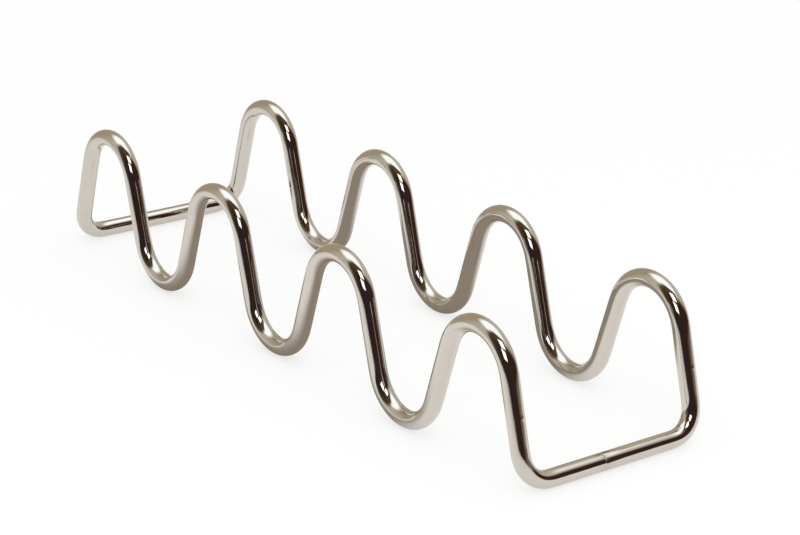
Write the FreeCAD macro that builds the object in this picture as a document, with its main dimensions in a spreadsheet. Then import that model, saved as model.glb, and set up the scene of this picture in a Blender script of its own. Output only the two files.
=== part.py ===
import FreeCAD, Part
import math
import os

import Sketcher

# A holder for folded shells, bent from one round bar whose two ends are butt welded into a closed loop.
# X runs along the row of valleys, Y across the holder, Z up. The holder stands on its two foot bars:
# z = 0 is the surface under them, and the origin is the middle of the footprint.

# Driving dimensions: name, size in millimetres (leans in degrees), what it is.
SIZES = (
    ("bar_diameter", 4.5, "round bar that the whole holder is bent from"),
    ("side_spacing", 52.3, "centre line of one side to centre line of the other"),
    ("valley_count", 3, "valleys in a row, with one more hump than valleys"),
    ("valley_pitch", 54.5, "hump to hump along the row"),
    ("hump_bend", 11.5, "centre-line radius of the bend over a hump"),
    ("valley_bend", 11.5, "centre-line radius of the bend under a valley"),
    ("hump_rise", 33.4, "centre line of a hump top above that of the foot bars"),
    ("valley_rise", 0.0, "centre line of a valley bottom above that of the foot bars"),
    ("leg_lean", 15.5, "lean of the end legs out from the vertical"),
    ("foot_bend", 6.9, "centre-line radius of the corners between leg and foot bar"),
    ("weld_offset", 3.4, "butt weld from the middle of its foot bar"),
    ("weld_band", 2.0, "length of bar that the ground bead of the weld blends into"),
    ("weld_rise", 0.05, "crown of the bead above the bar"),
)

# Where the bends start and end, from the sizes above.
FOOT_LINE = "sizes.bar_diameter / 2"
HUMP_LINE = "sizes.bar_diameter / 2 + sizes.hump_rise"
END_HUMP = "sizes.valley_count * sizes.valley_pitch / 2"
FOOT_BAR = (
    END_HUMP
    + " + sizes.hump_bend * cos(sizes.leg_lean * 1 deg)"
    + " + (sizes.hump_rise - sizes.hump_bend + sizes.hump_bend * sin(sizes.leg_lean * 1 deg))"
    + " * tan(sizes.leg_lean * 1 deg)"
)

# How a sketch counts the points of a line or arc, and its own origin and upright axis.
START, END, CENTRE = 1, 2, 3
ORIGIN, UP_AXIS = -1, -2


def make_sheet(doc):
    """Put the driving dimensions in a sheet, one alias a row, and return their numbers as well."""
    sheet = doc.addObject("Spreadsheet::Sheet", "sizes")
    for row, (name, value, meaning) in enumerate(SIZES, start=1):
        sheet.set(f"A{row}", name)
        sheet.set(f"B{row}", str(value))
        sheet.set(f"C{row}", meaning)
        sheet.setAlias(f"B{row}", name)
    doc.recompute()
    return {name: value for name, value, meaning in SIZES}


def origin_part(body, role):
    """One of the body's own origin planes or axes."""
    return next(part for part in body.Origin.OriginFeatures if part.Role == role)


def make_sketch(body, name, role, places=()):
    """An empty sketch on an origin plane of the body, moved by expressions for its offset."""
    sketch = body.newObject("Sketcher::SketchObject", name)
    sketch.AttachmentSupport = (origin_part(body, role), [""])
    sketch.MapMode = "FlatFace"
    for path, expression in places:
        sketch.setExpression("AttachmentOffset." + path, expression)
    return sketch


def bind(sketch, name, expression, *constraint):
    """Add one named dimension and tie it to the sheet."""
    index = sketch.addConstraint(Sketcher.Constraint(*constraint))
    sketch.renameConstraint(index, name)
    sketch.setExpression("Constraints." + name, expression)


def arc(x, y, radius, first, last):
    """Arc about (x, y) from the first to the last angle, in degrees and anticlockwise."""
    circle = Part.Circle(FreeCAD.Vector(x, y, 0), FreeCAD.Vector(0, 0, 1), radius)
    return Part.ArcOfCircle(circle, math.radians(first), math.radians(last))


def line(first, last):
    return Part.LineSegment(first, last)


def valley_path(body, size):
    """Centre line of one valley from hump top to hump top, at the low end of the row."""
    sketch = make_sketch(body, "valley_path", "XZ_Plane", [("Base.z", "sizes.side_spacing / 2")])
    left = -size["valley_count"] * size["valley_pitch"] / 2
    middle = left + size["valley_pitch"] / 2
    right = left + size["valley_pitch"]
    hump_z = size["bar_diameter"] / 2 + size["hump_rise"] - size["hump_bend"]
    valley_z = size["bar_diameter"] / 2 + size["valley_rise"] + size["valley_bend"]
    span = math.hypot(middle - left, hump_z - valley_z)
    fall = math.atan2(hump_z - valley_z, middle - left)
    lean = math.degrees(math.acos((size["hump_bend"] + size["valley_bend"]) / span) - fall)

    first_hump = sketch.addGeometry(arc(left, hump_z, size["hump_bend"], lean, 90))
    valley = sketch.addGeometry(arc(middle, valley_z, size["valley_bend"], 180 + lean, 360 - lean))
    next_hump = sketch.addGeometry(arc(right, hump_z, size["hump_bend"], 90, 180 - lean))
    first_foot = sketch.Geometry[first_hump].StartPoint
    valley_in = sketch.Geometry[valley].StartPoint
    valley_out = sketch.Geometry[valley].EndPoint
    next_foot = sketch.Geometry[next_hump].EndPoint
    flank_down = sketch.addGeometry(line(first_foot, valley_in))
    flank_up = sketch.addGeometry(line(valley_out, next_foot))

    for joint in (
        (first_hump, START, flank_down, START),
        (flank_down, END, valley, START),
        (valley, END, flank_up, START),
        (flank_up, END, next_hump, END),
    ):
        sketch.addConstraint(Sketcher.Constraint("Tangent", *joint))
    sketch.addConstraint(Sketcher.Constraint("Vertical", first_hump, CENTRE, first_hump, END))
    sketch.addConstraint(Sketcher.Constraint("Vertical", next_hump, CENTRE, next_hump, START))
    sketch.addConstraint(Sketcher.Constraint("Horizontal", first_hump, END, next_hump, START))
    sketch.addConstraint(Sketcher.Constraint("Equal", first_hump, next_hump))
    bind(sketch, "hump_bend", "sizes.hump_bend", "Radius", first_hump, size["hump_bend"])
    bind(sketch, "valley_bend", "sizes.valley_bend", "Radius", valley, size["valley_bend"])
    bind(sketch, "row_end", END_HUMP, "DistanceX", first_hump, END, ORIGIN, START, -left)
    bind(sketch, "hump_line", HUMP_LINE, "DistanceY", ORIGIN, START, first_hump, END, hump_z + size["hump_bend"])
    bind(sketch, "pitch", "sizes.valley_pitch", "DistanceX", first_hump, END, next_hump, START, right - left)
    bind(
        sketch, "half_pitch", "sizes.valley_pitch / 2",
        "DistanceX", first_hump, END, valley, CENTRE, middle - left,
    )
    bind(
        sketch, "valley_line", FOOT_LINE + " + sizes.valley_rise + sizes.valley_bend",
        "DistanceY", ORIGIN, START, valley, CENTRE, valley_z,
    )
    return sketch


def leg_path(body, size):
    """Centre line from the top of the last hump down the straight leg to its foot corner."""
    sketch = make_sketch(body, "leg_path", "XZ_Plane", [("Base.z", "sizes.side_spacing / 2")])
    lean = math.radians(size["leg_lean"])
    top_x = size["valley_count"] * size["valley_pitch"] / 2
    hump_z = size["bar_diameter"] / 2 + size["hump_rise"] - size["hump_bend"]
    end_z = size["bar_diameter"] / 2 + size["foot_bend"] * math.cos(lean)

    hump = sketch.addGeometry(arc(top_x, hump_z, size["hump_bend"], size["leg_lean"], 90))
    leg_top = sketch.Geometry[hump].StartPoint
    leg_end = leg_top + FreeCAD.Vector((leg_top.y - end_z) * math.tan(lean), end_z - leg_top.y, 0)
    leg = sketch.addGeometry(line(leg_top, leg_end))

    sketch.addConstraint(Sketcher.Constraint("Tangent", hump, START, leg, START))
    sketch.addConstraint(Sketcher.Constraint("Vertical", hump, CENTRE, hump, END))
    bind(sketch, "hump_bend", "sizes.hump_bend", "Radius", hump, size["hump_bend"])
    bind(sketch, "row_end", END_HUMP, "DistanceX", ORIGIN, START, hump, END, top_x)
    bind(sketch, "hump_line", HUMP_LINE, "DistanceY", ORIGIN, START, hump, END, hump_z + size["hump_bend"])
    bind(sketch, "lean", "(sizes.leg_lean - 90) * 1 deg", "Angle", leg, lean - math.pi / 2)
    bind(
        sketch, "leg_end", FOOT_LINE + " + sizes.foot_bend * cos(sizes.leg_lean * 1 deg)",
        "DistanceY", ORIGIN, START, leg, END, end_z,
    )
    return sketch


def foot_path(body, size):
    """Foot corner and half the foot bar, in the leaning plane of the end legs."""
    sketch = body.newObject("Sketcher::SketchObject", "foot_path")
    sketch.AttachmentSupport = (origin_part(body, "YZ_Plane"), [""])
    sketch.MapMode = "FlatFace"
    tilt = FreeCAD.Rotation(FreeCAD.Vector(-1, 0, 0), size["leg_lean"])
    sketch.AttachmentOffset = FreeCAD.Placement(FreeCAD.Vector(), tilt)
    sketch.setExpression("AttachmentOffset.Base.y", FOOT_LINE)
    sketch.setExpression("AttachmentOffset.Base.z", FOOT_BAR)
    sketch.setExpression("AttachmentOffset.Rotation.Angle", "sizes.leg_lean * 1 deg")
    bend = size["foot_bend"]
    side = -size["side_spacing"] / 2

    corner = sketch.addGeometry(arc(side + bend, bend, bend, 180, 270))
    bar = sketch.addGeometry(line(FreeCAD.Vector(side + bend, 0, 0), FreeCAD.Vector(0, 0, 0)))
    sketch.addConstraint(Sketcher.Constraint("Tangent", corner, END, bar, START))
    sketch.addConstraint(Sketcher.Constraint("Horizontal", corner, START, corner, CENTRE))
    sketch.addConstraint(Sketcher.Constraint("Horizontal", bar))
    sketch.addConstraint(Sketcher.Constraint("Coincident", bar, END, ORIGIN, START))
    bind(sketch, "foot_bend", "sizes.foot_bend", "Radius", corner, bend)
    bind(sketch, "half_width", "sizes.side_spacing / 2", "DistanceX", corner, START, ORIGIN, START, -side)
    return sketch


def bar_section(body, name, role, places, across, up, size):
    """Round section of the bar, across and up from the sketch's origin by two expressions."""
    sketch = make_sketch(body, name, role, places)
    circle = Part.Circle(FreeCAD.Vector(1, 1, 0), FreeCAD.Vector(0, 0, 1), size["bar_diameter"] / 2)
    ring = sketch.addGeometry(circle)
    sign, distance = across
    ends = (ring, CENTRE, ORIGIN, START) if sign < 0 else (ORIGIN, START, ring, CENTRE)
    bind(sketch, "diameter", "sizes.bar_diameter", "Diameter", ring, size["bar_diameter"])
    bind(sketch, "across", distance, "DistanceX", *ends, 1)
    bind(sketch, "up", up, "DistanceY", ORIGIN, START, ring, CENTRE, 1)
    return sketch


def sweep(body, name, section, path):
    """Bar swept along a path."""
    pipe = body.newObject("PartDesign::AdditivePipe", name)
    pipe.Profile = section
    pipe.Spine = path
    return pipe


def mirror(body, name, role):
    """Mirror image in an origin plane, as one step of a repeat."""
    image = body.newObject("PartDesign::Mirrored", name)
    image.MirrorPlane = (origin_part(body, role), [""])
    return image


def row(body, name, spacing, count):
    """Copies along X, as one step of a repeat."""
    pattern = body.newObject("PartDesign::LinearPattern", name)
    pattern.Direction = (origin_part(body, "X_Axis"), [""])
    pattern.Mode = "Spacing"
    pattern.setExpression("Offset", spacing)
    pattern.setExpression("Occurrences", count)
    return pattern


def repeat(body, name, originals, steps):
    """Repeat some features by one step after the other."""
    repeated = body.newObject("PartDesign::MultiTransform", name)
    repeated.Originals = originals
    repeated.Transformations = steps
    body.Tip = repeated
    return repeated


def butt_weld(body, size):
    """Ground bead around the foot bar where the two ends of the bar meet: a low arc turned about the bar."""
    sketch = make_sketch(body, "weld_profile", "XY_Plane", [("Base.x", FOOT_BAR), ("Base.z", FOOT_LINE)])
    crown = size["bar_diameter"] / 2 + size["weld_rise"]
    edge = size["bar_diameter"] / 2 - size["weld_rise"]
    half = size["weld_band"] / 2
    middle = -size["weld_offset"]
    low = FreeCAD.Vector(0, middle - half, 0)
    high = FreeCAD.Vector(0, middle + half, 0)
    low_edge = FreeCAD.Vector(edge, middle - half, 0)
    high_edge = FreeCAD.Vector(edge, middle + half, 0)
    crown_point = FreeCAD.Vector(crown, middle, 0)

    low_side = sketch.addGeometry(line(low, low_edge))
    bead = sketch.addGeometry(Part.Arc(low_edge, crown_point, high_edge))
    high_side = sketch.addGeometry(line(high_edge, high))
    core = sketch.addGeometry(line(high, low))
    top = sketch.addGeometry(Part.Point(crown_point), True)
    for joint in (
        (low_side, END, bead, START),
        (bead, END, high_side, START),
        (high_side, END, core, START),
        (core, END, low_side, START),
    ):
        sketch.addConstraint(Sketcher.Constraint("Coincident", *joint))
    sketch.addConstraint(Sketcher.Constraint("Horizontal", low_side))
    sketch.addConstraint(Sketcher.Constraint("Horizontal", high_side))
    sketch.addConstraint(Sketcher.Constraint("PointOnObject", core, START, UP_AXIS))
    sketch.addConstraint(Sketcher.Constraint("PointOnObject", core, END, UP_AXIS))
    sketch.addConstraint(Sketcher.Constraint("PointOnObject", top, START, bead))
    sketch.addConstraint(Sketcher.Constraint("Horizontal", top, START, bead, CENTRE))
    sketch.addConstraint(Sketcher.Constraint("Equal", low_side, high_side))
    bind(sketch, "band", "sizes.weld_band", "DistanceY", core, END, core, START, 2 * half)
    bind(
        sketch, "offset", "sizes.weld_offset - sizes.weld_band / 2",
        "DistanceY", core, START, ORIGIN, START, -middle - half,
    )
    bind(
        sketch, "crown", "sizes.bar_diameter / 2 + sizes.weld_rise",
        "DistanceX", ORIGIN, START, top, START, crown,
    )
    bind(
        sketch, "edge", "sizes.bar_diameter / 2 - sizes.weld_rise",
        "DistanceX", core, START, high_side, START, edge,
    )
    weld = body.newObject("PartDesign::Revolution", "butt_weld")
    weld.Profile = sketch
    weld.ReferenceAxis = (sketch, ["V_Axis"])
    weld.Angle = 360
    body.Tip = weld
    return weld


def wire_frame(doc, size):
    """The whole holder: one closed loop of bar."""
    body = doc.addObject("PartDesign::Body", "wire_frame")
    side_line = (-1, "sizes.side_spacing / 2")
    first_top = bar_section(
        body, "valley_section", "YZ_Plane", [("Base.z", "-" + END_HUMP)], side_line, HUMP_LINE, size
    )
    valley = sweep(body, "valley", first_top, valley_path(body, size))
    along = row(body, "along_the_row", "sizes.valley_pitch", "sizes.valley_count")
    across = mirror(body, "across_the_valleys", "XZ_Plane")
    repeat(body, "valleys", [valley], [along, across])

    last_top = bar_section(
        body, "leg_section", "YZ_Plane", [("Base.z", END_HUMP)], side_line, HUMP_LINE, size
    )
    leg = sweep(body, "leg", last_top, leg_path(body, size))
    bar_middle = bar_section(body, "foot_section", "XZ_Plane", [], (1, FOOT_BAR), FOOT_LINE, size)
    foot = sweep(body, "foot", bar_middle, foot_path(body, size))
    end_to_end = mirror(body, "end_to_end", "YZ_Plane")
    side_to_side = mirror(body, "side_to_side", "XZ_Plane")
    repeat(body, "ends", [leg, foot], [end_to_end, side_to_side])
    butt_weld(body, size)
    return body


def check(doc, bodies):
    """Stop if any feature failed, or if a piece isn't one valid closed solid."""
    for item in doc.Objects:
        if "Invalid" in item.State or "Error" in item.State:
            raise RuntimeError(f"{item.Label} failed: {item.State}")
    for body in bodies:
        if body.Shape.isNull() or not body.Shape.isValid() or len(body.Shape.Solids) != 1:
            raise RuntimeError(f"{body.Label} isn't one valid solid")


def main():
    doc = FreeCAD.newDocument("holder")
    size = make_sheet(doc)
    bodies = [wire_frame(doc, size)]
    doc.recompute()
    check(doc, bodies)
    os.makedirs("parts", exist_ok=True)
    for body in bodies:
        body.Shape.exportStep(f"parts/{body.Label}.step")
        box = body.Shape.optimalBoundingBox(False)
        print(body.Label, round(box.XLength, 2), round(box.YLength, 2), round(box.ZLength, 2))


main()
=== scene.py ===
import math

import bpy
import numpy as np
from mathutils import Matrix, Vector


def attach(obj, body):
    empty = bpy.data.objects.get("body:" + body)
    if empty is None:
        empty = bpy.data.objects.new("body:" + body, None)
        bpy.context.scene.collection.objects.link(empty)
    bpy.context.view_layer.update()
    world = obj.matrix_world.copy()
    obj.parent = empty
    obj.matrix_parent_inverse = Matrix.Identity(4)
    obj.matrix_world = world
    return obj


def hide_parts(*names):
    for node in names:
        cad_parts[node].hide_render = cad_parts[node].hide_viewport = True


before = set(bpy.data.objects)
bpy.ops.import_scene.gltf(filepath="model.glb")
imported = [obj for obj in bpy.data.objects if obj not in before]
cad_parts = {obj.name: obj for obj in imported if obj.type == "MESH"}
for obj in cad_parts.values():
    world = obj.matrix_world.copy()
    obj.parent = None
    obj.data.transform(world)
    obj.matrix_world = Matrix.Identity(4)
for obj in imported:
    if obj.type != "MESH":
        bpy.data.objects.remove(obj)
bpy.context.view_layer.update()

# The holder is one round bar of polished stainless steel, bent into a loop and butt welded.
# X runs along the row of valleys, Y across the holder, Z up, all in metres.
BAR = 0.0045
SIDE_SPACING = 0.0523
VALLEYS = 3
PITCH = 0.0545
HUMP_BEND = 0.0115
VALLEY_BEND = 0.0115
HUMP_RISE = 0.0334
VALLEY_RISE = 0.0
LEG_LEAN = math.radians(15.5)
FOOT_BEND = 0.0069
WELD_OFFSET = 0.0034

# How finely the bar is meshed.
SIDES = 64
BEND_STEP = 0.0005
STRAIGHT_STEP = 0.001
FINE_STEP = 0.0001
FINE_REACH = 0.0016
EASE_SAMPLES = 9

# Marks of the making. Depths, rises and lengths are real ones, and flattening is a share of the radius.
BEND_EASE = 0.002
BEND_FLATTENING = 0.018
CORNER_FLATTENING = 0.035
WELD_GROOVE = 0.00003
WELD_GROOVE_WIDTH = 0.00012
GRIND_DEPTH = 0.00016
GRIND_LENGTH = 0.0030
GRIND_EDGE = 0.00015
GRIND_LIFT = math.radians(48)
GRIND_REACH = math.radians(34)
BURR_HEIGHT = 0.0153
BURR_RISE = 0.00022
BURR_LENGTH = 0.00045
BURR_WIDTH = 0.00045
BURR_FACING = math.radians(100)

# The finish: how fine each mark is across and along the bar, its share of the roughness, and the colours.
DRAWN_LINES = (6000, 60)
SMUDGES = (300, 120)
RIPPLE = (300, 110)
MOTTLING = 260
SMUDGE_STARTS = (0.52, 0.72)
WELD_TINT_ENDS = (0.0004, 0.0030)
WELD_TINT_SHARE = 0.25
POLISH_ROUGHNESS = 0.05
DRAWN_ROUGHNESS = 0.03
SMUDGE_ROUGHNESS = 0.04
WELD_ROUGHNESS = 0.05
DRAWN_TO_RIPPLE = 0.02
RIPPLE_STRENGTH = 0.05
RIPPLE_DEPTH = 0.0003
STEEL = (0.62, 0.58, 0.525, 1)
PALE_STEEL = (0.66, 0.62, 0.565, 1)
STRAW_TINT = (0.52, 0.43, 0.30, 1)

# The studio. Distances are from the holder's middle, and the shade painted on the floor shows only in the
# bar.
FLOOR_REACH = 4
FLOOR_FADE = (0.04, 0.50)
FLOOR_WHITE_SEEN = 0.7
FLOOR_WHITE_MIRRORED = 0.55
FLOOR_SHADE_MIRRORED = 0.85
SHADE_MIDDLE = -0.004
SHADE_ENDS = (0.051, 0.069)
SHADE_SIDES = (0.0264, 0.0616)
# Painted shade: the colour of the floor under the holder, as only the bar mirrors it.
PAINTED_SHADE_UNDER_HOLDER = (0.28, 0.23, 0.17, 1)
FLOOR_MATTE = (0.9, 0.9, 0.9, 1)
WHITE = (1, 1, 1, 1)
LAMP_DISTANCE = 0.85
PALE_WALL = (0.66, 0.62, 0.54, 1)
TAN_WALL = (0.48, 0.42, 0.32, 1)
CEILING = (1.50, 1.60, 1.72, 1)
LOW_WALL = (0.26, 0.23, 0.18, 1)
OLIVE_SHADE = (0.09, 0.055, 0.030, 1)
BLACK_SHADE = (0.030, 0.022, 0.022, 1)
BROWN_SHADE = (0.045, 0.020, 0.014, 1)
DARK_CEILING = (0.11, 0.072, 0.042, 1)

# Where the walls and shades of the mirrored room come in, from none to all of them, by azimuth or elevation
# in degrees. The dark screen's edges are cosines, measured from the middle of that part of the screen.
TAN_WALL_STARTS = (-150, -125)
TAN_WALL_ENDS = (-70, -35)
CEILING_STARTS = (43, 61)
BLACK_SHADE_STARTS = (-12, 14)
BROWN_SHADE_STARTS = (50, 75)
DARK_CEILING_STARTS = (40, 62)
LOW_WALL_STARTS = (100, 125)
LOW_WALL_TOP = (-1, 5)
LEFT_PART_MIDDLE = (67, 0)
LEFT_EDGE = (-0.12, 0.12)
RIGHT_PART_MIDDLE = (78, 0)
RIGHT_EDGE = (-0.20, 0.20)
BELOW_TOP_MIDDLE = (50, -42)
SOFT_TOP_EDGE = (-0.62, -0.31)
CRISP_TOP_EDGE = (-0.65, -0.56)
CRISP_STARTS = (50, 62)

X_AXIS = np.array((1.0, 0.0, 0.0))
Y_AXIS = np.array((0.0, 1.0, 0.0))
Z_AXIS = np.array((0.0, 0.0, 1.0))


class Run:
    """A stretch of the bar, straight or bent about an axis. Its side direction keeps it from twisting."""

    def __init__(self, start, heading, side, length, axis=None, radius=None, flattening=0.0):
        self.start = start
        self.heading = heading
        self.side = side
        self.length = length
        self.axis = axis
        self.radius = radius
        self.flattening = flattening

    def turned(self, vector, angle):
        """The vector turned about the bend's axis, for one angle or for many."""
        angle = np.atleast_1d(angle)[:, None]
        along = np.dot(vector, self.axis) * self.axis
        across = vector - along
        lifted = np.cross(self.axis, vector)
        return along + across * np.cos(angle) + lifted * np.sin(angle)

    def at(self, distance):
        """Points, headings, side directions and ways to the bend's centre, at distances along the run."""
        distance = np.atleast_1d(distance)
        if self.radius is None:
            ones = np.ones((len(distance), 1))
            points = self.start + distance[:, None] * self.heading
            return points, ones * self.heading, ones * self.side, np.zeros_like(points)
        angle = distance / self.radius
        inward = np.cross(self.axis, self.heading)
        centre = self.start + self.radius * inward
        inwards = self.turned(inward, angle)
        points = centre - self.radius * inwards
        return points, self.turned(self.heading, angle), self.turned(self.side, angle), inwards

    def end(self):
        """Where the next run starts: its first point, heading and side direction."""
        points, headings, sides = self.at(self.length)[:3]
        return points[0], headings[0], sides[0]


def flank():
    """Lean of the straight flanks between hump and valley from the vertical, and their length."""
    across = PITCH / 2
    fall = HUMP_RISE - HUMP_BEND - VALLEY_RISE - VALLEY_BEND
    span = math.hypot(across, fall)
    reach = HUMP_BEND + VALLEY_BEND
    slope = math.atan2(fall, across) + math.asin(reach / span)
    return math.pi / 2 - slope, math.sqrt(span * span - reach * reach)


def bar_runs():
    """The bar as it is fed and bent, from the middle of the plain foot bar all the way round."""
    flank_lean, flank_length = flank()
    leg_top = HUMP_RISE - HUMP_BEND + HUMP_BEND * math.sin(LEG_LEAN)
    leg_length = (leg_top - FOOT_BEND * math.cos(LEG_LEAN)) / math.cos(LEG_LEAN)
    half_bar = SIDE_SPACING / 2 - FOOT_BEND
    end_hump = VALLEYS * PITCH / 2
    foot_x = end_hump + HUMP_BEND * math.cos(LEG_LEAN) + leg_top * math.tan(LEG_LEAN)
    first_hump = math.pi - flank_lean - LEG_LEAN
    middle_hump = math.pi - 2 * flank_lean
    runs = []
    place = [np.array((-foot_x, 0.0, BAR / 2)), -Y_AXIS, Z_AXIS]

    def feed(length):
        runs.append(Run(*place, length))
        place[:] = runs[-1].end()

    def bend(angle, axis, radius, flattening):
        runs.append(Run(*place, radius * abs(angle), axis * np.sign(angle), radius, flattening))
        place[:] = runs[-1].end()

    for end in (-1, 1):
        # Foot corner up into the leaning leg, one side of the row, and down to the other foot corner.
        leg_up = math.cos(LEG_LEAN) * Z_AXIS - end * math.sin(LEG_LEAN) * X_AXIS
        leg_down = -math.cos(LEG_LEAN) * Z_AXIS - end * math.sin(LEG_LEAN) * X_AXIS
        bar_out = end * Y_AXIS
        over = -end * Y_AXIS
        feed(half_bar)
        bend(math.pi / 2, np.cross(bar_out, leg_up), FOOT_BEND, CORNER_FLATTENING)
        feed(leg_length)
        bend(first_hump, over, HUMP_BEND, BEND_FLATTENING)
        for valley in range(VALLEYS):
            feed(flank_length)
            bend(-middle_hump, over, VALLEY_BEND, BEND_FLATTENING)
            feed(flank_length)
            last = valley == VALLEYS - 1
            bend(first_hump if last else middle_hump, over, HUMP_BEND, BEND_FLATTENING)
        feed(leg_length)
        bend(math.pi / 2, np.cross(leg_down, -bar_out), FOOT_BEND, CORNER_FLATTENING)
        feed(half_bar)
    return runs


def ring_distances(runs, fine_places):
    """Distances along the bar at which it gets a ring, closer together at the marks."""
    starts = np.concatenate(([0], np.cumsum([run.length for run in runs])))
    rings = []
    for start, run in zip(starts, runs):
        count = math.ceil(run.length / (BEND_STEP if run.radius else STRAIGHT_STEP))
        rings.append(np.linspace(start, start + run.length, count, endpoint=False))
    for place in fine_places:
        rings.append(np.arange(place - FINE_REACH, place + FINE_REACH, FINE_STEP))
    rings = np.sort(np.concatenate(rings) % starts[-1])
    apart = np.diff(np.append(rings, rings[0] + starts[-1])) > FINE_STEP / 2
    return rings[apart], starts


def bar_frame(runs, rings, starts):
    """Centre line, headings, up directions, ways to the bend's centre and flattening, one row a ring."""
    count = len(rings)
    centres = np.zeros((count, 3))
    headings = np.zeros((count, 3))
    ups = np.zeros((count, 3))
    inwards = np.zeros((count, 3))
    flattening = np.zeros(count)
    which = np.clip(np.searchsorted(starts, rings, side="right") - 1, 0, len(runs) - 1)
    for number, run in enumerate(runs):
        here = which == number
        points, heads, sides, inward = run.at(rings[here] - starts[number])
        centres[here] = points
        headings[here] = heads
        ups[here] = sides
        inwards[here] = inward
        flattening[here] = run.flattening
    return centres, headings, ups, inwards, flattening


def unit(vectors):
    """The vectors at length one. One without a length stays so."""
    lengths = np.linalg.norm(vectors, axis=1)[:, None]
    return vectors / np.maximum(lengths, 1e-9)


def eased_frame(runs, rings, starts):
    """The bar's frame with each bend starting and ending gently, as a sprung bar does."""
    shifts = np.linspace(-BEND_EASE, BEND_EASE, EASE_SAMPLES)
    frames = [bar_frame(runs, (rings + shift) % starts[-1], starts) for shift in shifts]
    centres, headings, ups, inwards, flattening = [sum(part) / len(shifts) for part in zip(*frames)]
    headings = unit(headings)
    ups = unit(ups - (ups * headings).sum(axis=1)[:, None] * headings)
    return centres, headings, ups, unit(inwards), flattening


def smooth(share):
    """Soft step from 0 to 1."""
    share = np.clip(share, 0, 1)
    return share * share * (3 - 2 * share)


def ground_patch(normals, from_weld):
    """Depth ground off beside the weld: a flat on top of the bar that starts sharply at the joint."""
    facing = math.cos(GRIND_LIFT) * X_AXIS + math.sin(GRIND_LIFT) * Z_AXIS
    edge = math.cos(GRIND_REACH)
    around = smooth((normals @ facing - edge) / (1 - edge))
    along = smooth(from_weld / GRIND_EDGE) * np.exp(-((from_weld / GRIND_LENGTH) ** 2))
    groove = WELD_GROOVE * np.exp(-((from_weld / WELD_GROOVE_WIDTH) ** 2))
    return GRIND_DEPTH * around * along[:, None] + groove[:, None]


def burrs(normals, rings, burr_places):
    """Rise of the small burrs that the bending tool left, one low on each leg of the welded end."""
    facing = math.sin(BURR_FACING) * X_AXIS - math.cos(BURR_FACING) * Y_AXIS
    across = BAR / 2 * np.arccos(np.clip(normals @ facing, -1, 1))
    rise = np.zeros_like(across)
    for place in burr_places:
        along = (rings - place)[:, None]
        rise += BURR_RISE * np.exp(-((across / BURR_WIDTH) ** 2) - (along / BURR_LENGTH) ** 2)
    return rise


def bent_bar():
    """The polished bar as one closed tube, with its ground weld, flattened bends and burrs on two legs."""
    runs = bar_runs()
    total = sum(run.length for run in runs)
    weld = total / 2 - WELD_OFFSET
    foot_corner = FOOT_BEND * math.pi / 2
    up_the_leg = (BURR_HEIGHT - FOOT_BEND * math.cos(LEG_LEAN)) / math.cos(LEG_LEAN)
    to_burr = SIDE_SPACING / 2 - FOOT_BEND + foot_corner + up_the_leg
    burr_places = [total / 2 - to_burr, total / 2 + to_burr]
    rings, starts = ring_distances(runs, [weld] + burr_places)
    centres, headings, ups, inwards, flattening = eased_frame(runs, rings, starts)
    rights = np.cross(headings, ups)

    angles = np.linspace(0, 2 * math.pi, SIDES, endpoint=False)
    normals = ups[:, None] * np.cos(angles)[:, None] + rights[:, None] * np.sin(angles)[:, None]
    facing = (normals * inwards[:, None]).sum(axis=2)
    radii = BAR / 2 * (1 - flattening[:, None] * (2 * facing ** 2 - 1))
    radii = radii - ground_patch(normals, rings - weld)
    radii = radii + burrs(normals, rings, burr_places)
    skin = centres[:, None] + radii[..., None] * normals

    count = len(rings)
    corners = np.arange(count * SIDES).reshape(count, SIDES)
    next_ring = np.roll(corners, -1, axis=0)
    faces = np.stack(
        (corners, next_ring, np.roll(next_ring, -1, axis=1), np.roll(corners, -1, axis=1)), axis=-1
    ).reshape(-1, 4)
    mesh = bpy.data.meshes.new("bent_bar")
    mesh.from_pydata(skin.reshape(-1, 3).tolist(), [], faces.tolist())
    mesh.shade_smooth()
    mark_bar_places(mesh, rings, angles, weld, total)
    mesh.validate()
    piece = bpy.data.objects.new("bent_bar", mesh)
    bpy.context.scene.collection.objects.link(piece)
    return piece


def mark_bar_places(mesh, rings, angles, weld, total):
    """Keep on each face corner its place on the bar before bending, with the weld at zero length."""
    count = len(rings)
    here = rings - weld
    there = np.append(rings[1:], rings[0] + total) - weld
    around = np.stack((np.cos(angles), np.sin(angles)), axis=1) * BAR / 2
    beside = np.roll(around, -1, axis=0)
    places = np.zeros((count, SIDES, 4, 3))
    face_corners = ((here, around), (there, around), (there, beside), (here, beside))
    for corner, (length, ring_side) in enumerate(face_corners):
        places[:, :, corner, :2] = ring_side
        places[:, :, corner, 2] = length[:, None]
    attribute = mesh.attributes.new("bar_place", "FLOAT_VECTOR", "CORNER")
    attribute.data.foreach_set("vector", places.astype(np.float32).ravel())


class Value:
    """A socket in a node tree whose arithmetic adds Math nodes."""

    def __init__(self, tree, socket):
        self.tree = tree
        self.socket = socket

    def output(self, name):
        """Another output of the same node."""
        return Value(self.tree, self.socket.node.outputs[name])

    def math(self, operation, *others):
        """The result of a Math node on this value and others."""
        node = self.tree.nodes.new("ShaderNodeMath")
        node.operation = operation
        for slot, given in enumerate((self, *others)):
            plug(self.tree, node.inputs[slot], given)
        return Value(self.tree, node.outputs[0])

    def __add__(self, other):
        return self.math("ADD", other)

    __radd__ = __add__

    def __mul__(self, other):
        return self.math("MULTIPLY", other)

    __rmul__ = __mul__

    def __sub__(self, other):
        return self.math("SUBTRACT", other)

    def __rsub__(self, other):
        return (self * -1) + other

    def step(self, low, high):
        """Soft rise from 0 at the low value to 1 at the high one."""
        return Shader(self.tree).add(
            "ShaderNodeMapRange", {"interpolation_type": "SMOOTHSTEP"},
            {"Value": self, "From Min": low, "From Max": high},
        )


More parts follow.
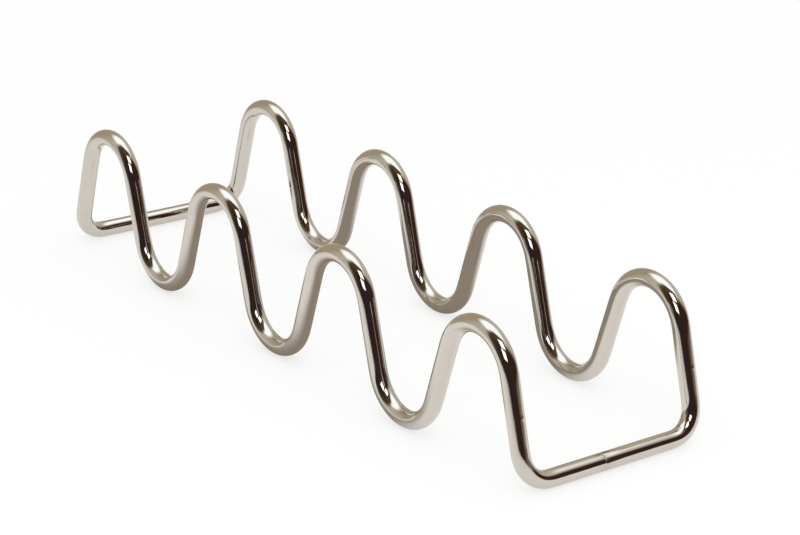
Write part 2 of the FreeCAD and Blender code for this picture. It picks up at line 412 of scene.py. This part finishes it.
def plug(tree, socket, given):
    """Set a socket to a number or colour, or link it to a value."""
    if isinstance(given, Value):
        tree.links.new(given.socket, socket)
    else:
        socket.default_value = given


class Shader:
    """The node tree of a material or of the world."""

    def __init__(self, tree):
        self.tree = tree

    def add(self, kind, settings, inputs, output=0):
        """Add a node: its settings first, then the numbers, colours or links of its sockets."""
        node = self.tree.nodes.new(kind)
        for name, setting in settings.items():
            setattr(node, name, setting)
        for name, given in inputs.items():
            plug(self.tree, node.inputs[name], given)
        return Value(self.tree, node.outputs[output]) if len(node.outputs) else None

    def mix(self, share, first, second):
        """Colour between two colours."""
        return self.add("ShaderNodeMix", {"data_type": "RGBA"}, {0: share, 6: first, 7: second}, 2)

    def noise(self, place, scale, detail):
        """Soft noise, so many grains a metre."""
        return self.add("ShaderNodeTexNoise", {}, {"Vector": place, "Scale": scale, "Detail": detail})

    def stretched(self, place, across, along):
        """The bar's place with its width and its length scaled apart."""
        scales = (across, across, along)
        return self.add("ShaderNodeVectorMath", {"operation": "MULTIPLY"}, {0: place, 1: scales})

    def ray(self, kind):
        """1 for rays of one kind."""
        return self.add("ShaderNodeLightPath", {}, {}, kind)


def new_material(name):
    """An empty material, and the shader that fills it."""
    material = bpy.data.materials.new(name)
    material.use_nodes = True
    material.node_tree.nodes.clear()
    return material, Shader(material.node_tree)


def polished_steel():
    """Mirror-polished stainless steel with faint lines along the bar and a straw tint at the weld."""
    material, shader = new_material("polished_steel")
    place = shader.add("ShaderNodeAttribute", {"attribute_name": "bar_place"}, {}, 1)
    along = shader.add("ShaderNodeSeparateXYZ", {}, {"Vector": place}, 2)
    near_weld = 1 - along.math("ABSOLUTE").step(*WELD_TINT_ENDS)

    drawn = shader.noise(shader.stretched(place, *DRAWN_LINES), 1.0, 3.0)
    mottled = shader.noise(place, MOTTLING, 3.0)
    smudged = shader.noise(shader.stretched(place, *SMUDGES), 1.0, 2.0).step(*SMUDGE_STARTS)

    clean = shader.mix(mottled, STEEL, PALE_STEEL)
    tinted = shader.mix(near_weld * WELD_TINT_SHARE, clean, STRAW_TINT)
    roughness = POLISH_ROUGHNESS + drawn * DRAWN_ROUGHNESS + smudged * SMUDGE_ROUGHNESS
    roughness = roughness + near_weld * WELD_ROUGHNESS

    ripple = shader.noise(shader.stretched(place, *RIPPLE), 1.0, 1.0)
    normal = shader.add("ShaderNodeBump", {}, {
        "Strength": RIPPLE_STRENGTH,
        "Distance": RIPPLE_DEPTH,
        "Height": ripple + drawn * DRAWN_TO_RIPPLE,
    })
    surface = shader.add("ShaderNodeBsdfPrincipled", {}, {
        "Base Color": tinted,
        "Metallic": 1.0,
        "Roughness": roughness,
        "Normal": normal,
    })
    shader.add("ShaderNodeOutputMaterial", {}, {"Surface": surface})
    return material


def floor():
    """Pale floor that keeps the holder's shadow. The bar mirrors it with painted shade below the holder,
    fading outwards.
    """
    material, shader = new_material("pale_floor")
    place = shader.add("ShaderNodeNewGeometry", {}, {}, "Position")
    away = shader.add("ShaderNodeVectorMath", {"operation": "LENGTH"}, {0: place}, "Value")
    x = shader.add("ShaderNodeSeparateXYZ", {}, {"Vector": place})
    beside_row = x.output("Y").math("ABSOLUTE").step(*SHADE_SIDES)
    past_row = (x - SHADE_MIDDLE).math("ABSOLUTE").step(*SHADE_ENDS)
    mirrored = shader.ray("Is Glossy Ray")
    # Painted shade: mirrored rays see the floor darkened under the holder.
    painted_shade = mirrored * (1 - beside_row.math("MAXIMUM", past_row))
    shown = shader.mix(painted_shade, WHITE, PAINTED_SHADE_UNDER_HOLDER)
    shown_share = shader.ray("Is Camera Ray") * FLOOR_WHITE_SEEN + mirrored * FLOOR_WHITE_MIRRORED
    shown_share = shown_share + painted_shade * (FLOOR_SHADE_MIRRORED - FLOOR_WHITE_MIRRORED)
    faded = mirrored * away.step(*FLOOR_FADE)

    matte = shader.add("ShaderNodeBsdfDiffuse", {}, {"Color": FLOOR_MATTE})
    even = shader.add("ShaderNodeEmission", {}, {"Color": shown, "Strength": 1.0})
    near = shader.add("ShaderNodeMixShader", {}, {0: shown_share, 1: matte, 2: even})
    open_air = shader.add("ShaderNodeBsdfTransparent", {}, {"Color": WHITE})
    seen = shader.add("ShaderNodeMixShader", {}, {0: faded, 1: near, 2: open_air})
    shader.add("ShaderNodeOutputMaterial", {}, {"Surface": seen})

    mesh = bpy.data.meshes.new("floor")
    far = FLOOR_REACH
    corners = [(-far, -far, 0), (far, -far, 0), (far, far, 0), (-far, far, 0)]
    mesh.from_pydata(corners, [], [(0, 1, 2, 3)])
    mesh.materials.append(material)
    piece = bpy.data.objects.new("floor", mesh)
    bpy.context.scene.collection.objects.link(piece)


def direction(azimuth, elevation):
    """Unit vector towards a place around the holder, azimuth 0 in front at -Y and 90 at +X."""
    turn = math.radians(azimuth)
    lift = math.radians(elevation)
    return Vector((math.sin(turn) * math.cos(lift), -math.cos(turn) * math.cos(lift), math.sin(lift)))


def lamp(name, azimuth, elevation, width, height, brightness, colour):
    """Soft rectangular light that faces the holder, its width and height in degrees as seen from there."""
    light = bpy.data.lights.new(name, "AREA")
    light.shape = "RECTANGLE"
    light.size = 2 * LAMP_DISTANCE * math.tan(math.radians(width / 2))
    light.size_y = 2 * LAMP_DISTANCE * math.tan(math.radians(height / 2))
    light.energy = brightness * math.pi * light.size * light.size_y
    light.color = colour
    lamp_object = bpy.data.objects.new(name, light)
    lamp_object.location = direction(azimuth, elevation) * LAMP_DISTANCE
    lamp_object.rotation_euler = (-lamp_object.location).to_track_quat("-Z", "Y").to_euler()
    lamp_object.visible_camera = False
    bpy.context.scene.collection.objects.link(lamp_object)


def room(shader):
    """What the bar mirrors: pale walls and ceiling, and a dark screen on one side that reaches overhead."""
    towards = shader.add("ShaderNodeTexCoord", {}, {}, "Generated")
    x = shader.add("ShaderNodeSeparateXYZ", {}, {"Vector": towards})
    azimuth = x.math("ARCTAN2", -1 * x.output("Y")) * math.degrees(1)
    elevation = x.output("Z").math("ARCSINE") * math.degrees(1)

    def facing(middle):
        """Cosine of the angle between the mirrored direction and a middle one, which is given in degrees."""
        product = {"operation": "DOT_PRODUCT"}
        directions = {0: towards, 1: tuple(direction(*middle))}
        return shader.add("ShaderNodeVectorMath", product, directions, "Value")

    tan_wall = azimuth.step(*TAN_WALL_STARTS) * (1 - azimuth.step(*TAN_WALL_ENDS))
    pale_side = shader.mix(tan_wall, PALE_WALL, TAN_WALL)
    pale_side = shader.mix(elevation.step(*CEILING_STARTS), pale_side, CEILING)
    dark_side = shader.mix(azimuth.step(*BLACK_SHADE_STARTS), OLIVE_SHADE, BLACK_SHADE)
    dark_side = shader.mix(azimuth.step(*BROWN_SHADE_STARTS), dark_side, BROWN_SHADE)
    dark_side = shader.mix(elevation.step(*DARK_CEILING_STARTS), dark_side, DARK_CEILING)
    past_low_wall = elevation.step(*LOW_WALL_TOP).math("MAXIMUM", 1 - azimuth.step(*LOW_WALL_STARTS))
    dark_side = shader.mix(past_low_wall, LOW_WALL, dark_side)
    left_part = facing(LEFT_PART_MIDDLE).step(*LEFT_EDGE)
    right_part = facing(RIGHT_PART_MIDDLE).step(*RIGHT_EDGE)
    soft_top = facing(BELOW_TOP_MIDDLE).step(*SOFT_TOP_EDGE)
    crisp_top = facing(BELOW_TOP_MIDDLE).step(*CRISP_TOP_EDGE)
    under_top = soft_top + (crisp_top - soft_top) * elevation.step(*CRISP_STARTS)
    screened = left_part.math("MAXIMUM", right_part).math("MINIMUM", under_top)
    return shader.mix(screened, pale_side, dark_side)


def studio():
    """White surroundings, the room that only the bar mirrors, and two soft lights."""
    world = bpy.data.worlds.new("white_studio")
    world.use_nodes = True
    world.node_tree.nodes.clear()
    shader = Shader(world.node_tree)
    colour = shader.mix(shader.ray("Is Glossy Ray"), WHITE, room(shader))
    background = shader.add("ShaderNodeBackground", {}, {"Color": colour, "Strength": 1.0})
    shader.add("ShaderNodeOutputWorld", {}, {"Surface": background})
    bpy.context.scene.world = world
    lamp(
        "upper_light", azimuth=71, elevation=58, width=26, height=16, brightness=2.8,
        colour=(1.0, 0.91, 0.76),
    )
    lamp(
        "lower_light", azimuth=55, elevation=36, width=23, height=17, brightness=2.6,
        colour=(1.0, 0.94, 0.99),
    )


def camera():
    """The photograph's viewpoint: place, aim, roll and lens."""
    azimuth = 52.748
    elevation = 20.773
    roll = math.radians(1.391)
    distance = 0.63118
    aim = Vector((0.01676, 0.0, 0.02341))
    back = direction(azimuth, elevation)
    right = Vector((math.cos(math.radians(azimuth)), math.sin(math.radians(azimuth)), 0))
    up = back.cross(right)
    rolled_right = right * math.cos(roll) + up * math.sin(roll)
    rolled_up = -right * math.sin(roll) + up * math.cos(roll)
    lens = bpy.data.cameras.new("camera")
    lens.lens = 111.76
    lens.sensor_width = 36.0
    lens.clip_start = 0.01
    view = bpy.data.objects.new("camera", lens)
    place = aim + back * distance
    rows = [(rolled_right[n], rolled_up[n], back[n], place[n]) for n in range(3)]
    view.matrix_world = Matrix(rows + [(0, 0, 0, 1)])
    bpy.context.scene.collection.objects.link(view)
    bpy.context.scene.camera = view


bar = bent_bar()
bar.data.materials.append(polished_steel())
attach(bar, "root")
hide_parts("wire_frame")

floor()
studio()
camera()
bpy.context.scene.view_settings.view_transform = "Standard"
